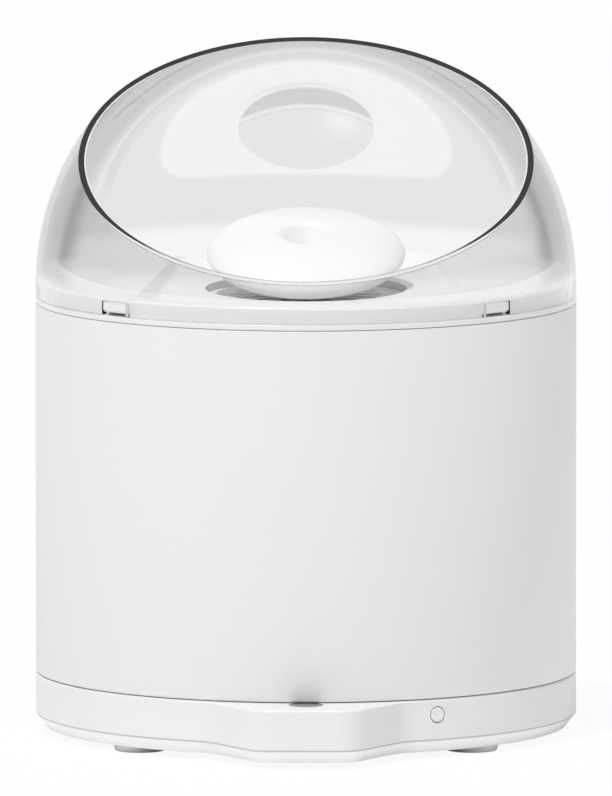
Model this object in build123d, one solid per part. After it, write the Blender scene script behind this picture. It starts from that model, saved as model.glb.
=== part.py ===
"""Pet water fountain with a cordless pump, millimetres, +Z up.

The origin is the middle of the footprint, in the plane that the feet stand on. Each piece
is drawn about the axis of the round body and then set back, because the nose makes the
footprint longer at the front. The front, where the dome opens, faces -Y.
"""
from build123d import *
import math
import os

# ---------------------------------------------------------------- driving dimensions
BODY_R = 95.0            # outside radius of base, tank, tray flange and dome
WALL = 2.4               # wall of the tank and deck of the base
SHELL_WALL = 2.2         # wall of the base mouldings and of the dome
SEAM = 0.25              # open line between stacked mouldings
LIFT_GAP = 0.3           # clearance under pieces that lift off

SETBACK = 10.0           # axis of the body, behind the middle of the footprint

FOOT_R = 9.3             # rubber foot, radius at its root
FOOT_BOTTOM_R = 8.7      # and at the table
FOOT_AXIS = 58.0         # foot centres, along X and along Y
FOOT_POCKET = 1.0        # how deep a foot is let into the base

BASE_Z = 2.3             # underside of the base
BEVEL_TOP_Z = 6.7        # where the bottom cover meets the base wall
BEVEL_IN = 3.4           # how far the bevel leans in
DECK_Z = 21.0            # top of the base
NOSE_FRONT_Y = -115.0    # flat front of the nose
NOSE_HALF = 17.5         # half width of the nose before its corners are rounded
NOSE_ROOT_X = 39.95      # half width of the nose where it is buried in the body
NOSE_ROOT_Y = -80.0
NOSE_CORNER_R = 10.0
NOSE_BLEND_R = 12.0
BOSS_R = 35.0            # coil boss on the deck, which centres the tank
BOSS_TOP_Z = 25.2

LENS_R = 6.1             # dark lens on top of the nose
LENS_Y = -99.0
LENS_SEAT_Z = 19.4
BUTTON_R = 2.6
BUTTON_HOLE_R = 2.95
BUTTON_TURN = 28.9       # degrees right of the front
BUTTON_Z = 15.6
JACK_Z = 12.5            # axis of the power inlet at the back
SCREW_X, SCREW_Y = 76.0, 26.0

TANK_Z = DECK_Z + LIFT_GAP
TANK_TOP_Z = 151.45
TANK_R = BODY_R - WALL
PLATFORM_R = 38.6        # raised middle of the tank floor, over the coil boss
PLATFORM_Z = 28.0
FLOOR_Z = TANK_Z + 2.7
FLOOR_CORNER_R = 6.0     # inside corner between the tank's floor and its wall
PUMP_RING_R = 29.2       # low ring on the platform that keeps the pump in place

FLANGE_Z = TANK_TOP_Z + SEAM
FLANGE_TOP_Z = 153.6
PLATE_Z = 159.5          # top of the drinking tray
PLATE_R = 91.8
PLATE_THICK = 2.4
COLLAR_R = 92.2          # ring that drops into the tank
COLLAR_Z = 141.0
BASIN_FRONT_R = 82.0     # the basin's front and back follow the body
BASIN_BACK_R = 88.0
BASIN_FRONT_HALF = 61.5  # half widths of the basin at y = -82 and y = +84
BASIN_BACK_HALF = 45.1
FLOOR_FRONT_Z = 154.4    # basin floor at y = -80
FLOOR_BACK_Z = 157.8     # and at y = +80
BASIN_CORNER_R = 9.0
BASIN_LIP_R = 1.6        # rounding where the basin meets the plate
BASIN_FOOT_R = 2.6       # and where its wall meets the floor
WALL_LEAN = 42.0         # degrees that the basin's wall leans
TAB_WIDE = 11.2          # lugs of the tray that stand in the notches of the dome
TAB_LOW_Z, TAB_HIGH_Z = 154.7, 158.4
TAB_ANGLES = (45, 135, 225, 315)
TAB_SLOT_Z = (153.75, 154.7)         # slot in the side wall under each lug

WELL_R = 29.6            # well of the tray that holds the filter
WELL_Z = 126.2
WELL_FLOOR_Z = 128.2
SEAT_R, SEAT_Z = 35.4, 152.4

FILTER_R = 29.0
FILTER_Z = WELL_FLOOR_Z + LIFT_GAP
LID_R = 34.8
LID_Z = SEAT_Z + LIFT_GAP
LID_TOP_Z = 153.9
TUBE_R, TUBE_BORE_R = 8.0, 6.4       # water tube through the filter

PEBBLE_AXES = (34.8, 32.5, 8.4)      # half width, half depth, half thickness
PEBBLE_Z = 168.3
PEBBLE_TILT = 20.0
DIMPLE_R, DIMPLE_LIP_R = 8.4, 3.0
SPOUT_HOLE_R = 2.3
STEM_R, STEM_BORE_R = 6.1, 3.0
STEM_Z, STEM_TOP_Z = 147.0, 164.5
PLUG_R = 8.0

DOME_Z = FLANGE_TOP_Z + SEAM
DOME_CENTRE_Z = 157.6    # centre of the ball; below it the skirt is straight
RIM_DISTANCE = 51.6      # from that centre to the plane of the mouth
RIM_TILT = 27.0          # degrees that the mouth leans to the front
NOTCH_WIDE, NOTCH_TOP_Z = 11.7, 158.7
GRIP_LOW_Z, GRIP_HIGH_Z = 185.4, 231.3   # thinner panel in the back of the dome
GRIP_HALF = 53.5
GRIP_SHOULDER_Z = 217.0
GRIP_CORNER_R = 13.0
GRIP_DEPTH = 0.8
GROOVE_DEPTH = 1.2
PAD_Z = 204.3                            # oval pad that stands in the panel
PAD_HALF_WIDE, PAD_HALF_HIGH = 24.1, 15.6
PAD_STEP = 4.9                           # height of the finger groove along its top

PUMP_R = 26.0
PUMP_Z = 29.5
PUMP_ROOF_Z = 50.0
COVER_SHOULDER_Z = 62.0
SPIGOT_R, SPIGOT_TOP_Z = 8.2, 76.0
RISER_R, RISER_BORE_R = 6.0, 4.8
RISER_Z, RISER_TOP_Z = 68.0, 134.0
THROAT_R = 9.4
BLADES = 5
BLADE_R = 8.8
SHAFT_R, SHAFT_BORE_R = 1.0, 1.06

BOTTOM = (Align.CENTER, Align.CENTER, Align.MIN)


# ---------------------------------------------------------------- shared helpers
def disc(radius, low, high, x=0.0, y=0.0):
    """Upright cylinder from one height to another."""
    return Pos(x, y, low) * Cylinder(radius, high - low, align=BOTTOM)


def ring(outer, inner, low, high, x=0.0, y=0.0):
    """Upright tube from one height to another."""
    return disc(outer, low, high, x, y) - disc(inner, low - 1, high + 1, x, y)


def block(x_low, x_high, y_low, y_high, z_low, z_high):
    """Box between two corners."""
    size = (x_high - x_low, y_high - y_low, z_high - z_low)
    centre = ((x_low + x_high) / 2, (y_low + y_high) / 2, (z_low + z_high) / 2)
    return Pos(*centre) * Box(*size)


def turned(points):
    """Solid of revolution about Z from an outline of (radius, height) points."""
    outline = Polyline(*[(r, 0, z) for r, z in points], close=True)
    return revolve(make_face(outline), axis=Axis.Z)


def slab(plan, low, high):
    """A plan pulled up between two heights."""
    return extrude(Pos(0, 0, low) * plan, amount=high - low)


def rim_edges(solid, height):
    """Edges of a solid that lie flat at one height."""
    return list(solid.edges().filter_by_position(Axis.Z, height - 0.01, height + 0.01))


def round_edges(solid, height, radius):
    """Full circles of one radius among the edges at one height."""
    full = 2 * math.pi * radius
    return [edge for edge in rim_edges(solid, height) if abs(edge.length - full) < 1.0]


# ---------------------------------------------------------------- base
def base_plan():
    """Plan of the base: the body circle with the nose blended into its front."""
    nose = make_face(Polyline(
        (-NOSE_HALF, NOSE_FRONT_Y), (NOSE_HALF, NOSE_FRONT_Y),
        (NOSE_ROOT_X, NOSE_ROOT_Y), (-NOSE_ROOT_X, NOSE_ROOT_Y), close=True))
    plan = Circle(BODY_R) + nose
    front = [v for v in plan.vertices() if v.Y < NOSE_FRONT_Y + 0.1]
    plan = fillet(front, NOSE_CORNER_R)
    roots = [v for v in plan.vertices() if v.Y < NOSE_ROOT_Y and abs(v.X) > NOSE_HALF + 10]
    return fillet(roots, NOSE_BLEND_R)


def on_button_axis(shape):
    """Turn a shape made along +X, with x as its radius, to the button's direction."""
    return Rot(0, 0, BUTTON_TURN - 90) * Pos(0, 0, BUTTON_Z) * shape


def along_x(radius, low, high):
    """Cylinder along X from one distance to another."""
    return Pos(low, 0, 0) * Rot(0, 90, 0) * Cylinder(radius, high - low, align=BOTTOM)


def screw_places():
    return [(x, y) for x in (-SCREW_X, SCREW_X) for y in (-SCREW_Y, SCREW_Y)]


def foot_places():
    return {
        "foot_front_left": (-FOOT_AXIS, -FOOT_AXIS),
        "foot_front_right": (FOOT_AXIS, -FOOT_AXIS),
        "foot_rear_left": (-FOOT_AXIS, FOOT_AXIS),
        "foot_rear_right": (FOOT_AXIS, FOOT_AXIS),
    }


def base_shell(plan):
    """Upper moulding of the base, with deck, wall, nose, coil boss and screw posts."""
    deck_under = DECK_Z - WALL
    shell = slab(plan, BEVEL_TOP_Z, DECK_Z)
    shell = fillet(rim_edges(shell, DECK_Z), 0.8)
    shell -= slab(offset(plan, -SHELL_WALL), BEVEL_TOP_Z - 1, deck_under)
    shell += disc(BOSS_R, DECK_Z - 0.5, BOSS_TOP_Z)
    shell = fillet(rim_edges(shell, BOSS_TOP_Z), 0.8)
    shell -= disc(BOSS_R - 2, deck_under - 1, BOSS_TOP_Z - SHELL_WALL)
    for x, y in screw_places():
        shell += ring(3.6, 1.3, BEVEL_TOP_Z + 0.6, deck_under + 0.2, x, y)
    shell -= disc(LENS_R, LENS_SEAT_Z, DECK_Z + 1, 0, LENS_Y)
    shell -= disc(4.6, deck_under - 1, LENS_SEAT_Z + 0.5, 0, LENS_Y)
    shell -= on_button_axis(along_x(BUTTON_HOLE_R, 88, 100))
    shell -= Pos(0, 100, JACK_Z) * Rot(90, 0, 0) * Cylinder(4.2, 10, align=BOTTOM)
    return shell


def base_bottom(plan):
    """Bottom cover: bevelled pan with pockets for the feet, bosses and board posts."""
    depth = BEVEL_TOP_Z - BASE_Z
    lean = math.degrees(math.atan2(BEVEL_IN, depth))
    pan = extrude(Pos(0, 0, BEVEL_TOP_Z) * plan, amount=depth, dir=(0, 0, -1), taper=lean)
    pan -= slab(offset(plan, -5.8), BASE_Z + SHELL_WALL, BEVEL_TOP_Z + 1)
    lip_out, lip_in = offset(plan, -SHELL_WALL - 0.2), offset(plan, -SHELL_WALL - 1.7)
    lip_z = (BEVEL_TOP_Z - 2, BEVEL_TOP_Z + 1.5)
    lip = slab(lip_out, *lip_z) - slab(lip_in, lip_z[0] - 1, lip_z[1] + 1)
    pan += lip - block(-6, 6, 80, 100, BEVEL_TOP_Z, 20)
    floor = BASE_Z + SHELL_WALL - 0.2
    for x, y in foot_places().values():
        pan += disc(FOOT_R + 1.6, BASE_Z + FOOT_POCKET, BASE_Z + 3.4, x, y)
        pan -= disc(FOOT_R + 0.1, BASE_Z - 1, BASE_Z + FOOT_POCKET, x, y)
    for x, y in screw_places():
        pan += disc(4.6, BASE_Z + 0.5, BEVEL_TOP_Z + 0.6, x, y)
        pan -= disc(3.2, BASE_Z - 1, 5.0, x, y)
        pan -= disc(1.6, 4.0, BEVEL_TOP_Z + 2, x, y)
    for x in (-22, 22):
        for y in (-78, -48):
            pan += disc(2.5, floor, 10.0, x, y)
    pan += block(-4.7, 4.7, 81, 89, floor, 8.0)
    cradle = block(82.2, 85.8, -10, 10, floor, 8.5) - block(83.4, 84.6, -9.2, 9.2, 7.5, 9)
    return pan + Rot(0, 0, BUTTON_TURN - 90) * cradle


def base_screws():
    """Four countersunk screws that hold the bottom cover to the posts."""
    screws = []
    for x, y in screw_places():
        screw = disc(2.9, 3.2, 5.0, x, y) + disc(1.3, 4.8, 14.5, x, y)
        screws.append(screw - block(x - 2.2, x + 2.2, y - 0.35, y + 0.35, 3.0, 4.0))
    return Compound(screws)


def foot(x, y):
    """Rubber foot that tapers towards the table."""
    return Pos(x, y, 0) * turned([
        (0, 0), (FOOT_BOTTOM_R, 0), (FOOT_R, BASE_Z - 0.3),
        (FOOT_R, BASE_Z + FOOT_POCKET), (0, BASE_Z + FOOT_POCKET)])


def indicator_lens():
    lens = disc(LENS_R, LENS_SEAT_Z, DECK_Z + 0.1, 0, LENS_Y)
    return fillet(rim_edges(lens, DECK_Z + 0.1), 0.25)


def light_guide():
    """Clear post that carries the light of the diode up to the lens."""
    return disc(3.2, 13.6, LENS_SEAT_Z, 0, LENS_Y)


def indicator_diode():
    return block(-1.7, 1.7, LENS_Y - 1.4, LENS_Y + 1.4, 11.6, 13.2)


def control_board():
    """Board of the base: a wide part on four posts and a tongue into the nose."""
    return block(-27, 27, -83, -43, 10.0, 11.6) + block(-8, 8, -110, -82, 10.0, 11.6)


def board_parts():
    """Coil driver, capacitors and choke, all on the control board."""
    chips = [block(-6, 6, -66, -54, 11.6, 13.2), block(10, 17, -72, -64, 11.6, 13.0)]
    cans = [disc(3.0, 11.6, 17.6, x, -50) for x in (-18, -10)]
    choke = ring(5.0, 2.2, 11.6, 16.0, 18, -53)
    return Compound(chips + cans + [choke])


def charge_coil():
    """Flat winding that powers the pump through the tank floor."""
    return ring(26, 12, 21.2, BOSS_TOP_Z - SHELL_WALL)


def coil_ferrite():
    return ring(29, 3, 19.8, 21.2)


def button_cap():
    """Round button with a rounded face and two ears behind the wall."""
    cap = along_x(BUTTON_R, 90.5, BODY_R + 0.25)
    cap = fillet(cap.edges().group_by(Axis.X)[-1], 0.3)
    cap += Pos(91.6, 0, 0) * Box(1.2, 8.4, 4.4)
    cap += along_x(1.8, 88.9, 91.5)
    return on_button_axis(cap)


def button_switch():
    """Small push switch behind the button."""
    body = Pos(86.35, 0, 0) * Box(3.5, 6.2, 5.0)
    return on_button_axis(body + along_x(1.7, 88.0, 88.3))


def button_board():
    board = block(83.4, 84.6, -9.2, 9.2, 8.1, 18.2)
    return Rot(0, 0, BUTTON_TURN - 90) * board


def power_inlet():
    """Round low-voltage inlet at the back, with its centre pin."""
    body = block(-4.7, 4.7, 80.5, 92.4, 8.0, 17.0)
    axis = Pos(0, 94.6, JACK_Z) * Rot(90, 0, 0)
    nose = axis * Cylinder(4.0, 5, align=BOTTOM)
    bore = Pos(0, 95, JACK_Z) * Rot(90, 0, 0) * Cylinder(2.8, 10.4, align=BOTTOM)
    pin = axis * Pos(0, 0, 1.0) * Cylinder(1.0, 11, align=BOTTOM)
    return (body + nose) - bore + pin


# ---------------------------------------------------------------- tank
def tank():
    """Round water tank whose raised middle drops over the coil boss."""
    low = TANK_Z
    pocket_r, pocket_z = BOSS_R + 1.2, BOSS_TOP_Z + 0.4
    body = turned([
        (0, pocket_z), (pocket_r, pocket_z), (pocket_r, low), (BODY_R, low),
        (BODY_R, TANK_TOP_Z), (TANK_R, TANK_TOP_Z), (TANK_R, FLOOR_Z),
        (PLATFORM_R, FLOOR_Z), (PLATFORM_R, PLATFORM_Z), (0, PLATFORM_Z)])
    body = fillet(round_edges(body, FLOOR_Z, TANK_R), FLOOR_CORNER_R)
    body = fillet(round_edges(body, low, BODY_R), 0.7)
    body = fillet(rim_edges(body, TANK_TOP_Z), 0.3)
    return body + ring(PUMP_RING_R, PUMP_RING_R - 1.6, PLATFORM_Z - 0.5, PLATFORM_Z + 3)


# ---------------------------------------------------------------- pump
def pump_housing():
    """Sealed lower half of the pump, with the rotor well in its roof."""
    shell = turned([
        (24, PUMP_Z), (PUMP_R, PUMP_Z), (PUMP_R, PUMP_ROOF_Z), (7.6, PUMP_ROOF_Z),
        (7.6, 37.5), (SHAFT_R, 37.5), (SHAFT_R, 36.0), (0, 36.0), (0, 34.8),
        (9.2, 34.8), (9.2, PUMP_ROOF_Z - 2), (24, PUMP_ROOF_Z - 2)])
    return shell


def pump_base():
    """Plate that closes the housing from below."""
    return disc(24, PUMP_Z, PUMP_Z + 2)


def pump_pads():
    """Three soft pads that the pump stands on."""
    places = [(18 * math.cos(a), 18 * math.sin(a)) for a in (math.pi / 6 + k * 2 * math.pi / 3
                                                            for k in range(3))]
    return Compound([disc(4, PLATFORM_Z + LIFT_GAP, PUMP_Z, x, y) for x, y in places])


def pump_coil():
    """Winding that picks up the power from the base."""
    return ring(22, 11, PUMP_Z + 2, 34.6)


def pump_stator():
    return ring(16, 9.2, 37.0, PUMP_ROOF_Z - 2)


def pump_cover():
    """Upper half of the pump: intake grille, throat of the impeller and spigot."""
    high = COVER_SHOULDER_Z
    outside = turned([
        (0, PUMP_ROOF_Z), (PUMP_R, PUMP_ROOF_Z), (PUMP_R, high - 4), (PUMP_R - 4, high),
        (SPIGOT_R + 2, high + 3), (SPIGOT_R, high + 6), (SPIGOT_R, SPIGOT_TOP_Z),
        (0, SPIGOT_TOP_Z)])
    inside = turned([
        (0, PUMP_ROOF_Z - 1), (PUMP_R - 1.8, PUMP_ROOF_Z - 1), (PUMP_R - 1.8, high - 4.6),
        (PUMP_R - 5.2, high - 1.8), (THROAT_R + 1.4, high - 0.4), (THROAT_R + 1.4, 54.5),
        (THROAT_R, 54.5), (THROAT_R, high), (RISER_BORE_R, RISER_Z),
        (RISER_R, RISER_Z), (RISER_R, SPIGOT_TOP_Z + 1), (0, SPIGOT_TOP_Z + 1)])
    cover = outside - inside
    slot = block(PUMP_R - 5, PUMP_R + 1, -0.9, 0.9, PUMP_ROOF_Z + 1.5, high - 5.5)
    for k in range(20):
        cover -= Rot(0, 0, 18 * k) * slot
    return cover


def impeller():
    """Hub on its long rotor core, with pitched blades."""
    wheel = disc(2.4, 38.2, 54.0) + disc(3.6, 53.0, 61.0)
    blade = Pos((BLADE_R + 2) / 2, 0, 57.5) * Rot(38, 0, 0) * Box(BLADE_R + 1, 1.1, 6.0)
    reach = ring(BLADE_R, 3.0, 53.4, 60.6)
    for k in range(BLADES):
        wheel += (Rot(0, 0, 360 / BLADES * k) * blade) & reach
    return wheel - disc(SHAFT_BORE_R, 37, 62)


def rotor_magnet():
    return ring(6.8, 2.4, 39.0, 50.5)


def pump_shaft():
    return disc(SHAFT_R, 36.0, 62.8)


def thrust_cap():
    """Small stop on the tip of the shaft, which keeps the impeller down."""
    return ring(2.0, SHAFT_R, 61.4, 62.8)


def riser_tube():
    """Tube that carries the water from the pump up into the filter."""
    return ring(RISER_R, RISER_BORE_R, RISER_Z, RISER_TOP_Z)


# ---------------------------------------------------------------- drinking tray
def basin_plan():
    """Plan of the basin: straight sides that close to the back, round ends."""
    trapezoid = make_face(Polyline(
        (-BASIN_FRONT_HALF, -BASIN_FRONT_R), (BASIN_FRONT_HALF, -BASIN_FRONT_R),
        (BASIN_BACK_HALF, 84), (-BASIN_BACK_HALF, 84), close=True))
    back = Circle(BASIN_BACK_R) & Pos(0, 60) * Rectangle(200, 120)
    front = Circle(BASIN_FRONT_R) & Pos(0, -60) * Rectangle(200, 120)
    plan = trapezoid & (back + front)
    corners = [v for v in plan.vertices() if abs(v.Y) > 30]
    return fillet(corners, BASIN_CORNER_R)


def above_floor(drop=0.0):
    """Everything above the sloping floor of the basin, lowered by drop."""
    rise = FLOOR_BACK_Z - FLOOR_FRONT_Z
    middle = (FLOOR_BACK_Z + FLOOR_FRONT_Z) / 2 - drop
    slope = math.degrees(math.atan2(rise, 160))
    return Pos(0, 0, middle) * Rot(slope, 0, 0) * Box(300, 300, 60, align=BOTTOM)


def tray_tabs():
    """Four lugs on the side wall, one in each notch of the dome."""
    band = ring(BODY_R - 0.4, PLATE_R - 1, TAB_LOW_Z, TAB_HIGH_Z)
    tab = band & block(85, 100, -TAB_WIDE / 2, TAB_WIDE / 2, TAB_LOW_Z - 1, TAB_HIGH_Z + 1)
    low_edge = tab.edges().filter_by_position(Axis.Z, TAB_LOW_Z - 0.01, TAB_LOW_Z + 0.01)
    tab = chamfer(low_edge.sort_by(Axis.X)[-1], 0.9)
    return [Rot(0, 0, angle) * tab for angle in TAB_ANGLES]


def drinking_tray():
    """Lid of the tank: flange, plate, basin with a sloping floor, and filter well."""
    under = PLATE_Z - PLATE_THICK
    shell = turned([
        (0, under), (PLATE_R - 2.4, under), (PLATE_R - 2.4, FLANGE_Z + 0.4),
        (COLLAR_R - 2.2, FLANGE_Z), (COLLAR_R - 2.2, COLLAR_Z), (COLLAR_R, COLLAR_Z),
        (COLLAR_R, FLANGE_Z), (BODY_R, FLANGE_Z), (BODY_R, FLANGE_TOP_Z),
        (PLATE_R, FLANGE_TOP_Z), (PLATE_R, PLATE_Z), (0, PLATE_Z)])
    shell = fillet(rim_edges(shell, PLATE_Z), 1.0)
    shell = fillet(round_edges(shell, FLANGE_TOP_Z, BODY_R), 0.5)
    pan = slab(basin_plan(), 148, under + 0.5) & above_floor(2.2)
    tray = shell + pan
    tray += disc(SEAT_R + 2.2, SEAT_Z - 2.2, 155.0)
    tray += disc(WELL_R + 2.0, WELL_Z, SEAT_Z - 1)
    tray -= basin_hollow()
    tray = fillet(basin_lip(tray), BASIN_LIP_R)
    tray -= disc(SEAT_R, SEAT_Z, PLATE_Z + 5)
    tray -= disc(WELL_R, WELL_FLOOR_Z, SEAT_Z + 1)
    tray -= disc(9.0, WELL_Z - 1, WELL_FLOOR_Z + 1)
    slot = block(12, 27, -1.5, 1.5, WELL_Z - 1, WELL_FLOOR_Z + 1)
    for k in range(10):
        tray -= Rot(0, 0, 36 * k) * slot
    slot = block(PLATE_R - 4, PLATE_R + 1, -TAB_WIDE / 2, TAB_WIDE / 2, *TAB_SLOT_Z)
    for angle in TAB_ANGLES:
        tray -= Rot(0, 0, angle) * slot
    for tab in tray_tabs():
        tray += tab
    return tray


def basin_hollow():
    """Space of the basin: leaning walls down to a sloping floor, with a round foot."""
    space = extrude(Pos(0, 0, PLATE_Z) * basin_plan(), amount=8, dir=(0, 0, -1), taper=WALL_LEAN)
    space = space & above_floor()
    foot = space.faces().sort_by(Axis.Z)[0].outer_wire().edges()
    return fillet(foot, BASIN_FOOT_R)


def basin_lip(tray):
    """Edges where the basin's sides meet the plate, inside the plate's own round edge."""
    return [edge for edge in rim_edges(tray, PLATE_Z)
            if edge.length < 2 * math.pi * (BASIN_BACK_R - 1)]


# ---------------------------------------------------------------- filter
def filter_case():
    """Round basket with a slotted floor and the water tube through its middle."""
    case = ring(FILTER_R, FILTER_R - 1.5, FILTER_Z, LID_Z)
    case += disc(FILTER_R, FILTER_Z, FILTER_Z + 1.8)
    case += disc(TUBE_R, FILTER_Z, LID_TOP_Z)
    slot = block(11, 25, -1.2, 1.2, FILTER_Z - 1, FILTER_Z + 3)
    for k in range(12):
        case -= Rot(0, 0, 30 * k) * slot
    return case - disc(TUBE_BORE_R, FILTER_Z - 1, LID_TOP_Z + 1)


def filter_lid():
    """Slotted lid whose rim rests on the seat of the tray."""
    lid = ring(LID_R, TUBE_R, LID_Z, LID_TOP_Z)
    slot = block(12, 26.5, -1.1, 1.1, LID_Z - 1, LID_TOP_Z + 1)
    for k in range(16):
        lid -= Rot(0, 0, 22.5 * k) * slot
    return lid


def filter_layer(low, high):
    """One round layer of filter medium around the water tube."""
    return ring(FILTER_R - 1.5, TUBE_R, low, high)


# ---------------------------------------------------------------- spout
def spout_pebble():
    """Tilted pebble with a funnel in its top and a socket for the stem below."""
    dome_top = PEBBLE_AXES[2] * math.sqrt(1 - (DIMPLE_R / PEBBLE_AXES[1]) ** 2)
    lip_z = dome_top - DIMPLE_LIP_R
    half = DIMPLE_LIP_R * math.sqrt(0.5)
    slope_r, slope_z = DIMPLE_R - half, lip_z + half
    drop = slope_r - SPOUT_HOLE_R
    edge = Polyline((DIMPLE_R, 0, dome_top), (DIMPLE_R, 0, 14), (0, 0, 14), (0, 0, -6.5),
                    (SPOUT_HOLE_R, 0, -6.5), (SPOUT_HOLE_R, 0, slope_z - drop),
                    (slope_r, 0, slope_z))
    lip_mid = (DIMPLE_R - DIMPLE_LIP_R * math.sin(math.radians(22.5)), 0,
               lip_z + DIMPLE_LIP_R * math.cos(math.radians(22.5)))
    lip = ThreePointArc((slope_r, 0, slope_z), lip_mid, (DIMPLE_R, 0, dome_top))
    funnel = revolve(make_face(edge + lip), axis=Axis.Z)
    body = scale(Sphere(1.0), by=PEBBLE_AXES)
    body = Pos(0, 0, PEBBLE_Z) * Rot(PEBBLE_TILT, 0, 0) * (body - funnel)
    return body - disc(PLUG_R, 150, STEM_TOP_Z)


def spout_stem():
    """Hollow stem between the filter tube and the pebble, grooved for its ring."""
    stem = turned([
        (STEM_BORE_R, STEM_Z), (STEM_R, STEM_Z), (STEM_R, 149.2), (5.2, 149.2),
        (5.2, 151.2), (STEM_R, 151.2), (STEM_R, 154.2), (9.5, 154.2), (9.5, 155.8),
        (PLUG_R, 155.8), (PLUG_R, STEM_TOP_Z), (STEM_BORE_R, STEM_TOP_Z)])
    return stem


def stem_ring():
    """Soft ring in the groove of the stem."""
    return ring(6.3, 5.2, 149.3, 151.1)


# ---------------------------------------------------------------- dome
def dome():
    """Clear ball on a short skirt, cut by a mouth that leans to the front."""
    def form(radius, low):
        ball = Pos(0, 0, DOME_CENTRE_Z) * Sphere(radius)
        top = ball & disc(120, DOME_CENTRE_Z, 300)
        return top + disc(radius, low, DOME_CENTRE_Z)
    shell = form(BODY_R, DOME_Z) - form(BODY_R - SHELL_WALL, DOME_Z - 2)
    mouth = Pos(0, 0, DOME_CENTRE_Z) * Rot(RIM_TILT, 0, 0) * Pos(0, 0, RIM_DISTANCE)
    shell -= mouth * Box(300, 300, 100, align=BOTTOM)
    for angle in TAB_ANGLES:
        notch = block(85, 100, -NOTCH_WIDE / 2, NOTCH_WIDE / 2, DOME_Z - 1, NOTCH_TOP_Z)
        shell -= Rot(0, 0, angle) * notch
    return shell - dome_grip()


def grip_plan():
    """Front view of the thinner panel: flat below, round above, with round corners."""
    side, low = GRIP_HALF, GRIP_LOW_Z
    outline = Polyline((-side, GRIP_SHOULDER_Z), (-side, low), (side, low),
                       (side, GRIP_SHOULDER_Z))
    top = ThreePointArc((side, GRIP_SHOULDER_Z), (0, GRIP_HIGH_Z), (-side, GRIP_SHOULDER_Z))
    plan = make_face(outline + top)
    return fillet(plan.vertices(), GRIP_CORNER_R)


def dome_grip():
    """What is taken off the back of the dome: a thin panel around an oval pad, and a
    groove for the finger tips along the pad's top."""
    def through(plan):
        front = BODY_R / 2
        return Pos(0, front, 0) * Rot(90, 0, 0) * extrude(plan, amount=front - BODY_R)

    def skin(depth):
        centre = Pos(0, 0, DOME_CENTRE_Z)
        return centre * (Sphere(BODY_R + 2) - Sphere(BODY_R - depth))

    oval = Ellipse(PAD_HALF_WIDE, PAD_HALF_HIGH)
    pad = Pos(0, PAD_Z) * oval
    lower = Pos(0, PAD_Z - PAD_STEP) * oval
    panel = skin(GRIP_DEPTH) & through(grip_plan() - pad)
    groove = skin(GROOVE_DEPTH) & through(pad - lower)
    return panel + groove


def build():
    """All nodes of the fountain by name."""
    plan = base_plan()
    parts = {
        "base_shell": base_shell(plan),
        "base_bottom": base_bottom(plan),
        "base_screws": base_screws(),
        "indicator_lens": indicator_lens(),
        "light_guide": light_guide(),
        "indicator_diode": indicator_diode(),
        "control_board": control_board(),
        "board_parts": board_parts(),
        "charge_coil": charge_coil(),
        "coil_ferrite": coil_ferrite(),
        "button_cap": button_cap(),
        "button_switch": button_switch(),
        "button_board": button_board(),
        "power_inlet": power_inlet(),
        "tank": tank(),
        "pump_housing": pump_housing(),
        "pump_base": pump_base(),
        "pump_pads": pump_pads(),
        "pump_coil": pump_coil(),
        "pump_stator": pump_stator(),
        "pump_cover": pump_cover(),
        "pump_shaft": pump_shaft(),
        "thrust_cap": thrust_cap(),
        "impeller": impeller(),
        "rotor_magnet": rotor_magnet(),
        "riser_tube": riser_tube(),
        "drinking_tray": drinking_tray(),
        "filter_case": filter_case(),
        "filter_lid": filter_lid(),
        "filter_carbon": filter_layer(FILTER_Z + 1.8, 141.0),
        "filter_cotton": filter_layer(141.0, 144.0),
        "filter_foam": filter_layer(144.0, 150.5),
        "spout_pebble": spout_pebble(),
        "spout_stem": spout_stem(),
        "stem_ring": stem_ring(),
        "dome": dome(),
    }
    for name, (x, y) in foot_places().items():
        parts[name] = foot(x, y)
    return parts


os.makedirs("parts", exist_ok=True)
for node, solid in build().items():
    placed = Pos(0, SETBACK, 0) * solid
    placed.label = node
    export_step(placed, f"parts/{node}.step")
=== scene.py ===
"""Pet water fountain: its modelled pieces, finishes, studio and camera.

Everything is in metres, +Z up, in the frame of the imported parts. The round body stands on
the axis x = 0, y = AXIS_Y, and the open side of the dome faces -Y.
"""

import math

import bmesh
import bpy
from mathutils import Matrix, Vector


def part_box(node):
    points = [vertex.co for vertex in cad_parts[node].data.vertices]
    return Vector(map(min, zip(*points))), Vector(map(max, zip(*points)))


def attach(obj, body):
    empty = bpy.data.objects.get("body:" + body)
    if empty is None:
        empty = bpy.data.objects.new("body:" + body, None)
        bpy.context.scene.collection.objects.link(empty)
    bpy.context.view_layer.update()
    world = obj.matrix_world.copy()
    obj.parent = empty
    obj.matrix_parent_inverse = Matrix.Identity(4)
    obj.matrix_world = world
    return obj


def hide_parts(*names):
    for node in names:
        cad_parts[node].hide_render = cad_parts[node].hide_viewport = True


bl_info = {
    "name": "Pet Water Fountain",
    "version": (1, 0, 0),
    "blender": (4, 5, 0),
    "location": "3D View > Sidebar > Fountain",
    "description": "Models and finishes a cordless pet water fountain around its packed parts",
    "category": "Add Mesh",
}

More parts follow.
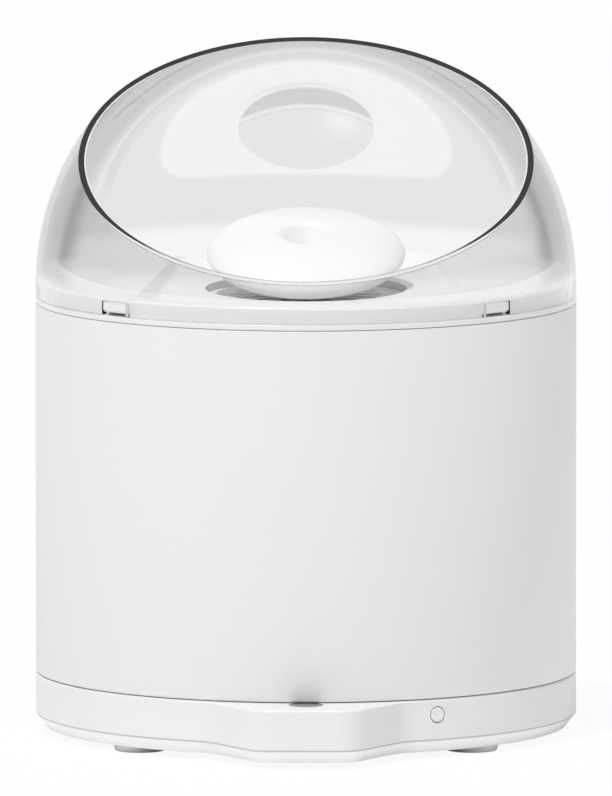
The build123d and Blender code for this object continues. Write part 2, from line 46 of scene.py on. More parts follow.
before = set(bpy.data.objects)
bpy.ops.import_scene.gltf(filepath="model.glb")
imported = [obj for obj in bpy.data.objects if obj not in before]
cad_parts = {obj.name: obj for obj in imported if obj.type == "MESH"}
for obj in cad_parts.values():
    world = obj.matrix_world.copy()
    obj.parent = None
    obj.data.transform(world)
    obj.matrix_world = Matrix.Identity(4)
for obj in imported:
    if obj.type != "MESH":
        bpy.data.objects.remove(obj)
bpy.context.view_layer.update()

# ---------------------------------------------------------------- sizes, the first from the frame
TANK_LOW, TANK_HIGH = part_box("tank")
DOME_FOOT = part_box("dome")[0].z
LENS_LOW, LENS_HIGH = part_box("indicator_lens")
FOOT_LOW, FOOT_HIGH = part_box("foot_front_left")

AXIS_Y = (TANK_LOW.y + TANK_HIGH.y) / 2     # axis of the round body
BODY_R = TANK_HIGH.x                        # outside radius of tank, tray and dome

MOUTH_TILT = math.radians(27.0)             # lean of the dome's mouth to the front
BALL_CENTRE = Vector((0.0, AXIS_Y, 0.1576)) # centre of the dome's ball
MOUTH_DISTANCE = 0.0516                     # from that centre to the plane of the mouth
MOUTH_AXIS = Vector((0.0, -math.sin(MOUTH_TILT), math.cos(MOUTH_TILT)))
CLEAR_WALL = 0.0022                         # wall of the dome
RIM_INNER_R = math.sqrt((BODY_R - CLEAR_WALL) ** 2 - MOUTH_DISTANCE ** 2)
RIM_WIDE = math.sqrt(BODY_R ** 2 - MOUTH_DISTANCE ** 2) - RIM_INNER_R
NOTCH_HALF, NOTCH_TOP = 0.00585, 0.1587     # notches of the dome round the tray's lugs

PANEL_LOW, PANEL_HIGH = 0.1854, 0.2313      # thinner panel in the back of the dome
PANEL_HALF, PANEL_CORNER = 0.0530, 0.0106
PANEL_MID = PANEL_LOW + PANEL_CORNER        # height where it is widest
PANEL_SLOPE = 0.005                         # over which it reaches its full depth
PAD_MID, PAD_HALF = 0.2043, (0.0241, 0.0156)

TANK_FLOOR = 0.0240                         # top of the tank's floor
TANK_FLOOR_SOFT = 0.006                     # round corner between floor and wall
TANK_FOOT_SOFT, TANK_LIP_SOFT, TANK_STEP_SOFT = 0.0007, 0.0003, 0.0004
TANK_STEP_R, TANK_STEP = 0.0386, 0.0280     # raised middle of the floor
TANK_POCKET_R, TANK_POCKET = 0.0362, 0.0256 # what drops over the base's boss
TANK_RING_R, TANK_RING_WALL, TANK_RING = 0.0292, 0.0016, 0.0310

PEBBLE_HALF = Vector((0.0348, 0.0325, 0.0084))
PEBBLE_MID = Vector((0.0, AXIS_Y, 0.1683))
BORE_FOOT = -0.0062                         # foot of its bore, from its middle
SOCKET_R, SOCKET_TOP = 0.0080, 0.1645       # socket for the stem, in the underside
SOCKET_LOW = 0.15                           # where its cutter starts, below the pebble

FOOT_SLOPE, FOOT_TAPER = 0.0006, 0.0013     # how far a foot narrows, and over what height
TREAD_DEEP = 0.0004                         # how far the middle of its tread is set back
LENS_CROWN = 0.00006                        # how far the lens rises from its edge
FOOT_SOFT, LENS_SOFT, BUTTON_SOFT = 0.0004, 0.0002, 0.0003

BUTTON_R, BUTTON_Z = 0.0026, 0.0156
BUTTON_TURN = math.radians(28.9)            # right of the front
BUTTON_FACE = 0.09525                       # how far its face is from the axis
BUTTON_DISH = 0.0002                        # how deep that face is dished
COLLAR_R = 0.0034                           # its collar, whose ends are given from the face
COLLAR_FRONT, COLLAR_BACK = -0.0031, -0.00425
PIN_R, PIN_BACK = 0.0018, -0.0064           # its pin to the switch

NEAR = 2e-5                                 # how close counts as the same place

# ---------------------------------------------------------------- looks
RIM_FADE = (0.170, 0.194)                   # heights between which the rim's painted dark band widens
RIM_BAND = (0.12, 1.05)                     # its reach over the rim, below them and above
RIM_INSET = 0.2                             # pale part of the rim inside the dark band
RIM_TOP = (0.222, 0.236)                    # between these that pale part ends
RIM_SOLID = (0.173, 0.180)                  # above these the rim hides the wall behind it
RIM_VEIL = 0.6                              # how much of it the rim hides below them
RIM_PALE = 0.8                              # its pale part, as a share of the clear colour
RIM_HAIR = 0.0003                           # painted dark hairline along the outer edge of the rim
CUT_SKIN = 0.00003                          # how near to a cut face still counts as on it
CUT_VEIL = 0.22                             # how much painted shade the other cut faces show

SKIRT_CLEAR = (0.165, 0.172)                # below these heights the wall is clearest
SKIRT_DEEP = (0.160, 0.165)                 # down to these it looks deep where it is side-on
SIDE_ON = (0.46, 0.60)                      # how far side-on it has to be seen for that
PANEL_SOFT = 0.0026                         # how softly the panel's edge shows
PAD_SOFT = 0.02                             # and the pad's, as a share of its reach
PAINTED_CRESCENT_ARC, PAINTED_CRESCENT_TOP = 0.053, 0.2135      # arc that bounds the dark crescent painted on the pad, a painted reflection
PAINTED_CRESCENT_SOFT = 0.0002                        # how softly the painted crescent's edge shows
REFLECTED_ARC_FOOT = 0.170                           # painted reflection: a bright arc that goes round over the panel
REFLECTED_ARC_HALF, REFLECTED_ARC_RISE = 0.0762, 0.0655
REFLECTED_ARC_FADE = (0.178, 0.192)                  # heights between which it starts to show
PAINTED_GLINT = (-0.0008, 0.0002, 0.0007)           # painted highlight line below the crescent: place and widths
PAINTED_DARK_LINE = (-0.0019, 0.0002, 0.0006)            # painted thin dark line under that, part of the same painted reflection
REFLECTED_ARC = (1.0, 0.004, 0.010)                  # the painted bright arc itself, as shares of its arch
PAINTED_DARK_BAND = (0.96, 0.012, 0.035)               # painted soft dark band inside that arc
WALL_CLEARNESS, SKIRT_CLEARNESS = 0.65, 0.97
REFLECTION_TINTS = {"panel": 0.23, "painted_crescent": -0.34, "painted_glint": 0.10, "line": -0.09, "painted_arc": 0.35,
           "painted_dark_band": -0.14}                 # what each painted reflection adds to the wall's tint
CLEAR_IOR = 1.5
SOFT_PASS = 0.965                           # what one face of the dome lets through of soft light

DRIFT_SCALE, GRAIN_SCALE = 35.0, 2600.0     # patches and satin grain of the moulded plastic
DRIFT_TONE, DRIFT_ROUGH = 0.008, 0.06       # how much its colour and roughness drift
BASE_SEAM = 0.0067                          # line between the two mouldings of the base
SEAM_LINE = 0.0004                          # how wide such a line shows
SEAM_DARK = 0.42                            # and how dark
TRAY_EDGE = (0.0915, 0.0925)                # where the tray comes out from under the dome and its painted brightness gives way to the body's white

FLOOR_WIDE = 16                             # side of the square floor
FLOOR_WHITE = 0.93                          # how far the floor gives way to plain white
BACKDROP_EDGE = (0.62, 0.74)                # how far round the white backdrop reaches
KEY_SIDE = Vector((-0.234, -0.406, 1.0))    # towards the sun, upper left in front
KEY_SOFT = math.radians(3.0)                # how wide the sun looks
ROOM_DIM = 0.15                             # the dim part of the studio, seen in gloss alone
SOFTBOX_SIDE = (0.75, 0.85)                 # how far to the right its softbox starts
SOFTBOX_FOOT, SOFTBOX_TOP = (0.0, 0.15), (0.5, 0.6)
CEILING = (0.75, 0.9)                       # how far up its bright ceiling starts
SOFTBOX_GLOW, CEILING_GLOW = 0.7, 0.6


# ---------------------------------------------------------------- what a user would change
class FountainColours(bpy.types.PropertyGroup):
    """Colours of the finishes."""

    body: bpy.props.FloatVectorProperty(
        name="Body", description="White moulded plastic of base, tank and tray",
        subtype="COLOR", size=3, min=0, max=1, default=(0.83, 0.835, 0.84))
    # Between clear and deep lies the dome's tint, which over its back also carries painted
    # reflections.
    clear: bpy.props.FloatVectorProperty(
        name="Clear plastic", description="What the thinnest wall of the dome lets through",
        subtype="COLOR", size=3, min=0, max=1, default=(0.95, 0.95, 0.95))
    deep: bpy.props.FloatVectorProperty(
        name="Deep clear plastic", description="What the wall lets through where it is deepest",
        subtype="COLOR", size=3, min=0, max=1, default=(0.48, 0.48, 0.483))
    # Painted light: the tray is painted brighter than the body's white where it lies under the
    # dome, standing in for the light that the dome's tint takes away.
    tray: bpy.props.FloatVectorProperty(
        name="Tray", description="Bright white plastic of the drinking tray",
        subtype="COLOR", size=3, min=0, max=1, default=(0.93, 0.93, 0.93))
    # Painted shade on the dome's cut edges, where light runs into the wall.
    rim: bpy.props.FloatVectorProperty(
        name="Dome rim", description="Cut edge of the dome, where light runs into the wall",
        subtype="COLOR", size=3, min=0, max=1, default=(0.03, 0.03, 0.032))
    rubber: bpy.props.FloatVectorProperty(
        name="Feet", description="Pale rubber of the feet",
        subtype="COLOR", size=3, min=0, max=1, default=(0.72, 0.72, 0.72))


class FountainSizes(bpy.types.PropertyGroup):
    """Sizes of the modelled pieces that the other parts leave free."""

    tank_wall: bpy.props.FloatProperty(
        name="Tank wall", description="Thickness of the tank's round wall", default=0.0024,
        min=0.001, max=0.004, unit="LENGTH")
    panel_depth: bpy.props.FloatProperty(
        name="Panel depth", description="How deep the panel is pressed into the dome's back",
        default=0.0006, min=0, max=0.001, unit="LENGTH")
    pebble_tilt: bpy.props.FloatProperty(
        name="Pebble tilt", description="Lean of the pebble to the front",
        default=math.radians(20.0), subtype="ANGLE")
    funnel: bpy.props.FloatProperty(
        name="Funnel", description="Radius of the funnel in the pebble's top", default=0.0106,
        min=0.006, max=0.013, unit="LENGTH")
    funnel_lip: bpy.props.FloatProperty(
        name="Funnel lip", description="Radius of the roll of the funnel's lip",
        default=0.0038, min=0.001, max=0.005, unit="LENGTH")
    spout: bpy.props.FloatProperty(
        name="Spout", description="Radius of the bore that the water rises through",
        default=0.0023, min=0.001, max=0.004, unit="LENGTH")


class FountainStudio(bpy.types.PropertyGroup):
    """Lamps, floor and camera."""

    key: bpy.props.FloatProperty(
        name="Key", description="Strength of the sun from the upper left", default=1.77, min=0)
    world: bpy.props.FloatProperty(
        name="Room", description="Strength of the even light of the room", default=0.58, min=0)
    lens: bpy.props.FloatProperty(
        name="Lens", description="Focal length of the camera", default=1300.0, min=50, max=1300,
        unit="CAMERA")
    distance: bpy.props.FloatProperty(
        name="Distance", description="From the camera to the axis of the body", default=10.1,
        min=1, unit="LENGTH")
    tilt: bpy.props.FloatProperty(
        name="Looking down", description="Angle of the camera below the horizon",
        default=math.radians(6.6), subtype="ANGLE")
    aim: bpy.props.FloatProperty(
        name="Aim height", description="Height on the axis at the middle of the picture",
        default=0.1172, unit="LENGTH")


# ---------------------------------------------------------------- shader maths
class Expr:
    """A number that changes over a surface, as the socket that carries it."""

    def __init__(self, tree, socket):
        self.tree = tree
        self.socket = socket

    def math(self, operation, *others, clamp=False):
        made = self.tree.nodes.new("ShaderNodeMath")
        made.operation = operation
        made.use_clamp = clamp
        for place, value in enumerate((self, *others)):
            if isinstance(value, Expr):
                self.tree.links.new(value.socket, made.inputs[place])
            else:
                made.inputs[place].default_value = value
        return Expr(self.tree, made.outputs[0])

    def __add__(self, other):
        return self.math("ADD", other)

    __radd__ = __add__

    def __sub__(self, other):
        return self.math("SUBTRACT", other)

    def __rsub__(self, other):
        return self.math("MULTIPLY_ADD", -1.0, other)

    def __mul__(self, other):
        return self.math("MULTIPLY", other)

    __rmul__ = __mul__

    def __truediv__(self, other):
        return self.math("DIVIDE", other)

    def __pow__(self, other):
        return self.math("POWER", other)

    def __abs__(self):
        return self.math("ABSOLUTE")

    def between(self, low, high):
        """0 at low, 1 at high, eased in between."""
        share = self.math("SUBTRACT", low) * (1 / (high - low))
        share = share.math("ADD", 0.0, clamp=True)
        return share * share * (3 - 2 * share)

    def near(self, middle, full, edge):
        """1 up to full away from the middle, eased to 0 at edge."""
        return 1 - abs(self - middle).between(full, edge)


class Finish:
    """A material and the nodes put into it."""

    def __init__(self, name):
        self.material = bpy.data.materials.new(name)
        self.material.use_nodes = True
        self.tree = self.material.node_tree
        self.tree.nodes.clear()

    @classmethod
    def of(cls, tree):
        """Nodes for a tree that isn't a material's."""
        made = cls.__new__(cls)
        made.tree = tree
        tree.nodes.clear()
        return made

    def node(self, kind, settings=None, **sockets):
        """A node of this kind; settings come first, then the values or links of its sockets.

        A socket is given by its name, or as i0, i1 and so on by its number.
        """
        made = self.tree.nodes.new("ShaderNode" + kind)
        for name, value in (settings or {}).items():
            setattr(made, name, value)
        for name, value in sockets.items():
            number = name[1:]
            socket = made.inputs[int(number) if number.isdigit() else name.replace("_", " ")]
            if isinstance(value, Expr):
                self.tree.links.new(value.socket, socket)
            elif isinstance(value, bpy.types.NodeSocket):
                self.tree.links.new(value, socket)
            else:
                socket.default_value = value
        return made

    def value(self, kind, settings=None, output=0, **sockets):
        made = self.node(kind, settings, **sockets)
        return Expr(self.tree, made.outputs[output])

    def place(self):
        """Where a point is on the piece, in the frame's metres."""
        return self.node("TexCoord").outputs["Object"]

    def from_ball(self):
        """From the centre of the dome's ball to a point on the piece."""
        return self.value("VectorMath", {"operation": "SUBTRACT"}, 0, i0=self.place(),
                          i1=BALL_CENTRE)

    def noise(self, scale, detail=2.0):
        return self.value("TexNoise", {"noise_dimensions": "3D"}, "Fac", Vector=self.place(),
                          Scale=scale, Detail=detail, Roughness=0.5)

    def bump(self, height, strength, distance):
        return self.node("Bump", None, Strength=strength, Distance=distance,
                         Height=height).outputs["Normal"]

    def finish(self, shader):
        out = self.node("OutputMaterial")
        self.tree.links.new(shader.outputs[0], out.inputs["Surface"])
        return self.material


def rgba(colour, factor=1.0):
    return (colour[0] * factor, colour[1] * factor, colour[2] * factor, 1.0)


# ---------------------------------------------------------------- finishes
def moulded_plastic(name, colour, roughness, grain=0.02, seam=None, outer=None):
    """Moulded plastic: a faint satin grain, and a roughness that drifts a little.

    A seam is the height of a fine dark line round the piece, and outer the colour of what
    lies outside the dome's wall.
    """
    finish = Finish(name)
    drift = finish.noise(DRIFT_SCALE, 3.0)
    fine = finish.noise(GRAIN_SCALE)
    base = finish.node(
        "Mix", {"data_type": "RGBA"}, Factor=drift, A=rgba(colour, 1 - DRIFT_TONE),
        B=rgba(colour, 1 + DRIFT_TONE)).outputs["Result"]
    if seam:
        height = Expr(finish.tree, finish.node("SeparateXYZ", None,
                                               Vector=finish.place()).outputs["Z"])
        line = height.near(seam, SEAM_LINE / 2, SEAM_LINE)
        base = finish.node("Mix", {"data_type": "RGBA"}, Factor=SEAM_DARK * line, A=base,
                           B=rgba((0.05, 0.05, 0.05))).outputs["Result"]
    # Outside the dome's wall the piece takes the outer colour; inside it keeps the colour given,
    # which for the tray is painted brighter as painted light.
    if outer:
        across = finish.value("VectorMath", {"operation": "MULTIPLY"}, 0, i0=finish.from_ball(),
                              i1=(1, 1, 0))
        radius = finish.value("VectorMath", {"operation": "LENGTH"}, "Value", i0=across)
        base = finish.node("Mix", {"data_type": "RGBA"}, Factor=radius.between(*TRAY_EDGE),
                           A=base, B=rgba(outer)).outputs["Result"]
    shader = finish.node(
        "BsdfPrincipled", None, Base_Color=base, IOR=1.46,
        Roughness=roughness + DRIFT_ROUGH * (drift - 0.5),
        Normal=finish.bump(fine, grain, 0.0004))
    return finish.finish(shader)


def plain_finish(name, colour, roughness, metallic=0.0, grain=0.05, grain_scale=900.0,
                 ior=1.45):
    """Small inner part: one colour with a slight mottle, and a grain of its own."""
    finish = Finish(name)
    mottle = finish.noise(grain_scale / 6, 3.0)
    base = finish.node(
        "Mix", {"data_type": "RGBA"}, Factor=mottle,
        A=rgba(colour, 0.9), B=rgba(colour, 1.08))
    shader = finish.node(
        "BsdfPrincipled", None, Base_Color=base.outputs["Result"], Metallic=metallic,
        IOR=ior, Roughness=roughness + 0.1 * (mottle - 0.5),
        Normal=finish.bump(finish.noise(grain_scale), grain, 0.0005))
    return finish.finish(shader)


def panel_share(x, z):
    """1 on the thinner panel of the dome's back: flat below, half an oval above."""
    across = (abs(x) - (PANEL_HALF - PANEL_CORNER)).math("MAXIMUM", 0.0)
    down = (PANEL_MID - z).math("MAXIMUM", 0.0)
    inside = PANEL_CORNER - (across * across + down * down) ** 0.5
    under = PANEL_HALF * (1 - arch_reach(x, z, PANEL_MID, PANEL_HALF, PANEL_HIGH - PANEL_MID))
    return inside.math("MINIMUM", under).between(0.0, PANEL_SOFT)


def arch_reach(x, z, foot, half, rise):
    """How far out a point lies under an arch that stands at the height foot: 1 on the arch."""
    up = (z - foot).math("MAXIMUM", 0.0) / rise
    across = x / half
    return (across * across + up * up) ** 0.5


def pad_reach(x, z):
    """How far out a point lies from the middle of the oval pad: 1 on its edge."""
    across = x / PAD_HALF[0]
    rise = (z - PAD_MID) / PAD_HALF[1]
    return (across * across + rise * rise) ** 0.5


def clear_share(finish, x, y, z):
    """How clear the wall's tint is, from 0 where it looks deepest to 1 where it is clearest; over
    the back it carries painted reflections.
    """
    behind = y.math("GREATER_THAN", 0.0)
    panel = panel_share(x, z) * behind
    pad = (1 - pad_reach(x, z).between(1 - PAD_SOFT, 1 + PAD_SOFT)) * panel
    drop = z - (PAINTED_CRESCENT_TOP - PAINTED_CRESCENT_ARC)
    over = (x * x + drop * drop) ** 0.5 - PAINTED_CRESCENT_ARC
    arch = arch_reach(x, z, REFLECTED_ARC_FOOT, REFLECTED_ARC_HALF, REFLECTED_ARC_RISE)
    above = behind * z.between(*REFLECTED_ARC_FADE)
    # Painted reflections of the tray below and of the rim: a lighter tint over the real but
    # shallow pressed panel, then on the unpressed pad a dark crescent, a bright line and a thin
    # dark line, and high up a bright arc with a soft dark band inside it.
    painted_reflections = {
        "panel": panel - pad,
        "painted_crescent": pad * over.between(-PAINTED_CRESCENT_SOFT, PAINTED_CRESCENT_SOFT),
        "painted_glint": pad * over.near(*PAINTED_GLINT),
        "line": pad * over.near(*PAINTED_DARK_LINE),
        "painted_arc": above * arch.near(*REFLECTED_ARC),
        "painted_dark_band": above * arch.near(*PAINTED_DARK_BAND) * (1 - panel),
    }
    share = sum((REFLECTION_TINTS[name] * reflection for name, reflection in painted_reflections.items()), WALL_CLEARNESS)
    share = share + (SKIRT_CLEARNESS - share) * (1 - z.between(*SKIRT_CLEAR))
    side_on = finish.value("LayerWeight", None, "Facing", Blend=0.5).between(*SIDE_ON)
    return share * (1 - side_on * z.between(*SKIRT_DEEP))


def cut_faces(x, y, z):
    """1 on the bottom edge of the dome and on the faces of its four notches, which take a share
    of the rim's painted shade.
    """
    half_turn = math.sqrt(0.5)
    along = abs((x + y) * half_turn)
    across = abs((x - y) * half_turn)
    near = along.math("MINIMUM", across)
    sides = abs(near - NOTCH_HALF).math("LESS_THAN", CUT_SKIN) * z.math("LESS_THAN", NOTCH_TOP)
    top = abs(z - NOTCH_TOP).math("LESS_THAN", CUT_SKIN) * near.math("LESS_THAN", NOTCH_HALF)
    foot = (z - DOME_FOOT).math("LESS_THAN", CUT_SKIN)
    return sides.math("MAXIMUM", top).math("MAXIMUM", foot)


def rim_band(finish, z):
    """How dark the face of the dome's rim is painted, as painted shade for the light that runs
    into the wall there, and how much it hides the wall behind it.

    Towards the low front of the mouth the dark band narrows to the inner edge of the rim,
    and only a hairline stays at the outer one.
    """
    along = finish.value("VectorMath", {"operation": "DOT_PRODUCT"}, "Value",
                         i0=finish.from_ball(), i1=MOUTH_AXIS)
    out = finish.value("VectorMath", {"operation": "CROSS_PRODUCT"}, 0,
                       i0=finish.from_ball(), i1=MOUTH_AXIS)
    out = finish.value("VectorMath", {"operation": "LENGTH"}, "Value", i0=out)
    outside = 1 - Expr(finish.tree, finish.node("NewGeometry").outputs["Backfacing"])
    on_rim = along.math("GREATER_THAN", MOUTH_DISTANCE - CUT_SKIN) * outside
    risen = z.between(*RIM_FADE)
    narrow, wide = RIM_BAND
    reach = RIM_INNER_R + RIM_WIDE * (narrow + (wide - narrow) * risen)
    inset = RIM_INNER_R + RIM_WIDE * RIM_INSET * risen * (1 - z.between(*RIM_TOP))
    band = reach.math("GREATER_THAN", out) * out.math("GREATER_THAN", inset)
    hair = out.math("GREATER_THAN", RIM_INNER_R + RIM_WIDE - RIM_HAIR) * (1 - risen)
    return band.math("MAXIMUM", hair), on_rim * z.between(*RIM_SOLID).math("MAXIMUM", RIM_VEIL)


def clear_wall(name, clear, deep, rim):
    """Clear plastic wall whose cut edges look dark, as light from behind doesn't come out there.

    Lamps and soft light pass straight through.
    """
    finish = Finish(name)
    parts = finish.node("SeparateXYZ", None, Vector=finish.from_ball())
    x, y, rise = (Expr(finish.tree, parts.outputs[k]) for k in "XYZ")
    z = rise + BALL_CENTRE.z
    tint = finish.node("Mix", {"data_type": "RGBA"}, Factor=clear_share(finish, x, y, z),
                       A=rgba(deep), B=rgba(clear))
    glass = finish.node(
        "BsdfPrincipled", None, Base_Color=tint.outputs["Result"], Roughness=0.0,
        IOR=CLEAR_IOR, Transmission_Weight=1.0)
    passing = finish.node("BsdfTransparent", None, Color=rgba((1, 1, 1), SOFT_PASS))
    path = finish.node("LightPath")
    shadow = Expr(finish.tree, path.outputs["Is Shadow Ray"])
    soft = Expr(finish.tree, path.outputs["Is Diffuse Ray"])
    wall = finish.node("MixShader", None, i0=shadow.math("MAXIMUM", soft), i1=glass.outputs[0],
                       i2=passing.outputs[0])
    dark, solid = rim_band(finish, z)
    cut = cut_faces(x, y, z)
    colour = finish.node("Mix", {"data_type": "RGBA"}, Factor=dark.math("MAXIMUM", cut),
                         A=rgba(clear, RIM_PALE), B=rgba(rim))
    edge = finish.node("BsdfPrincipled", None, Base_Color=colour.outputs["Result"],
                       Roughness=0.25, IOR=1.3)
    mixed = finish.node("MixShader", None, i0=solid.math("MAXIMUM", CUT_VEIL * cut),
                        i1=wall.outputs[0], i2=edge.outputs[0])
    return finish.finish(mixed)


# ---------------------------------------------------------------- helpers
def all_clear():
    bpy.ops.object.select_all(action="DESELECT")


def start(add, place, **settings):
    """A primitive that is the start of a piece, in edit mode with its place in its mesh."""
    all_clear()
    add(location=place, **settings)
    piece = bpy.context.object
    bpy.ops.object.transform_apply(location=True, rotation=True, scale=True)
    bpy.ops.object.mode_set(mode="EDIT")
    return piece


def draw_up(outline, sides=192, axis=(0.0, AXIS_Y)):
    """Draw a round piece ring by ring along its outline of (radius, height) points."""
    (radius, height), *rest = outline
    piece = start(bpy.ops.mesh.primitive_circle_add, (*axis, height), vertices=sides,
                  radius=radius)
    for wide, high in rest:
        bpy.ops.mesh.extrude_edges_move(TRANSFORM_OT_translate={"value": (0, 0, high - height)})
        grow = wide / radius
        bpy.ops.transform.resize(value=(grow, grow, 1), center_override=(*axis, high))
        radius, height = wide, high
    return piece


def close_up():
    """Close the open rings of the piece in edit mode and turn its faces outwards."""
    bpy.ops.mesh.select_all(action="SELECT")
    bpy.ops.mesh.remove_doubles(threshold=NEAR / 4)
    bpy.ops.mesh.fill_holes(sides=0)
    bpy.ops.mesh.select_all(action="SELECT")
    bpy.ops.mesh.normals_make_consistent(inside=False)


def round_ring(piece, radius, height, soft, steps=3, axis=(0.0, AXIS_Y)):
    """Round the edges of one ring of the piece in edit mode."""
    bpy.ops.mesh.select_mode(type="EDGE")
    bpy.ops.mesh.select_all(action="DESELECT")
    mesh = bmesh.from_edit_mesh(piece.data)
    for edge in mesh.edges:
        edge.select_set(all(
            abs(math.hypot(v.co.x - axis[0], v.co.y - axis[1]) - radius) < NEAR
            and abs(v.co.z - height) < NEAR for v in edge.verts))
    bmesh.update_edit_mesh(piece.data)
    bpy.ops.mesh.bevel(offset=soft, offset_type="OFFSET", segments=steps, profile=0.5)


def cut_away(piece, cutter):
    """Take the cutter's shape out of the piece."""
    bpy.ops.object.mode_set(mode="OBJECT")
    all_clear()
    piece.select_set(True)
    bpy.context.view_layer.objects.active = piece
    bpy.ops.object.modifier_add(type="BOOLEAN")
    cut = piece.modifiers[-1]
    cut.operation = "DIFFERENCE"
    cut.solver = "EXACT"
    cut.object = cutter
    bpy.ops.object.modifier_apply(modifier=cut.name)
    bpy.data.objects.remove(cutter, do_unlink=True)


def put_in(piece, node, body, angle=32.0):
    """Let a modelled piece stand for a carried-over part, with that part's finish."""
    if piece.mode == "EDIT":
        bpy.ops.object.mode_set(mode="OBJECT")
    all_clear()
    piece.select_set(True)
    bpy.context.view_layer.objects.active = piece
    piece.name = piece.data.name = node + "_piece"
    bpy.ops.object.shade_smooth_by_angle(angle=math.radians(angle))
    piece.data.materials.clear()
    piece.data.materials.append(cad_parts[node].material_slots[0].material)
    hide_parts(node)
    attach(piece, body)
    return piece


def colours():
    return bpy.context.scene.fountain_colours


def sizes():
    return bpy.context.scene.fountain_sizes


def studio():
    return bpy.context.scene.fountain_studio


def dress(node, material):
    """Give a carried-over part its finish."""
    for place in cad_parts[node].material_slots:
        place.material = material


# ---------------------------------------------------------------- operators
class FOUNTAIN_OT_finishes(bpy.types.Operator):
    """Give the carried-over parts their finishes, which the modelled pieces then take over"""

    bl_idname = "fountain.finishes"
    bl_label = "Inner Parts"

    def execute(self, context):
        tints = colours()
        body = moulded_plastic("body_satin", tints.body, 0.42)
        base = moulded_plastic("base_satin", tints.body, 0.42, seam=BASE_SEAM)
        # The tray's gloss is painted brighter under the dome, as painted light; the pebble's tone
        # lies halfway to it.
        gloss = moulded_plastic("tray_gloss_painted_bright", tints.tray, 0.25, grain=0.0, outer=tints.body)
        pebble = moulded_plastic("pebble_gloss", [0.5 * (a + b) for a, b in zip(
            tints.body, tints.tray)], 0.3, grain=0.0)
        clear = clear_wall("clear_plastic", tints.clear, tints.deep, tints.rim)
        by_slot = {
            "body_plastic": body,
            "clear_plastic": clear,
            "smoked_lens": plain_finish("smoked_lens", (0.22, 0.22, 0.225), 0.12, grain=0.0,
                                        ior=1.25),
            "light_guide": plain_finish("light_guide", (0.8, 0.85, 0.85), 0.2),
            "foot_rubber": plain_finish("foot_rubber", tints.rubber, 0.6),
            "soft_silicone": plain_finish("soft_silicone", (0.7, 0.71, 0.72), 0.5),
            "circuit_board": plain_finish("circuit_board", (0.02, 0.16, 0.06), 0.35),
            "dark_plastic": plain_finish("dark_plastic", (0.03, 0.03, 0.03), 0.4),
            "copper": plain_finish("copper", (0.72, 0.33, 0.16), 0.3, metallic=1.0),
            "ferrite": plain_finish("ferrite", (0.06, 0.06, 0.065), 0.55),
            "steel": plain_finish("steel", (0.6, 0.6, 0.61), 0.3, metallic=1.0),
            "pump_plastic": plain_finish("pump_plastic", (0.75, 0.76, 0.77), 0.4),
            "filter_plastic": plain_finish("filter_plastic", (0.9, 0.91, 0.92), 0.4),
            "carbon": plain_finish("carbon", (0.015, 0.015, 0.016), 0.8, grain=0.8),
            "felt": plain_finish("felt", (0.85, 0.85, 0.83), 0.95, grain=0.6),
            "foam": plain_finish("foam", (0.78, 0.79, 0.8), 0.9, grain=0.9),
        }
        for name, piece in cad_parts.items():
            old = piece.material_slots[0].material.name.split(".")[0]
            dress(name, by_slot[old])
        dress("drinking_tray", gloss)
        dress("spout_pebble", pebble)
        dress("filter_lid", plain_finish("filter_lid", (0.92, 0.92, 0.92), 0.45))
        dress("base_shell", base)
        # Painted light: the base's bottom moulding, whose bevel faces down, is painted whiter
        # than the body's white for the light that the bevel misses.
        dress("base_bottom", moulded_plastic("bottom_satin_painted_light", (0.97, 0.97, 0.97), 0.42,
                                             seam=BASE_SEAM))
        return {"FINISHED"}


class FOUNTAIN_OT_tank(bpy.types.Operator):
    """Model the water tank: a turned tub whose raised middle drops over the base's boss"""

    bl_idname = "fountain.tank"
    bl_label = "Tank"

    def execute(self, context):
        inside_r = BODY_R - sizes().tank_wall
        ring_in_r = TANK_RING_R - TANK_RING_WALL
        low, high = TANK_LOW.z, TANK_HIGH.z
        tub = draw_up([
            (ring_in_r / 2, TANK_POCKET), (TANK_POCKET_R, TANK_POCKET), (TANK_POCKET_R, low),
            (BODY_R, low), (BODY_R, high), (inside_r, high), (inside_r, TANK_FLOOR),
            (TANK_STEP_R, TANK_FLOOR), (TANK_STEP_R, TANK_STEP), (TANK_RING_R, TANK_STEP),
            (TANK_RING_R, TANK_RING), (ring_in_r, TANK_RING), (ring_in_r, TANK_STEP),
            (ring_in_r / 2, TANK_STEP)])
        close_up()
        round_ring(tub, BODY_R, low, TANK_FOOT_SOFT)
        round_ring(tub, BODY_R, high, TANK_LIP_SOFT)
        round_ring(tub, inside_r, high, TANK_LIP_SOFT)
        round_ring(tub, inside_r, TANK_FLOOR, TANK_FLOOR_SOFT, steps=8)
        round_ring(tub, TANK_STEP_R, TANK_STEP, TANK_STEP_SOFT, steps=2)
        put_in(tub, "tank", "tank")
        return {"FINISHED"}


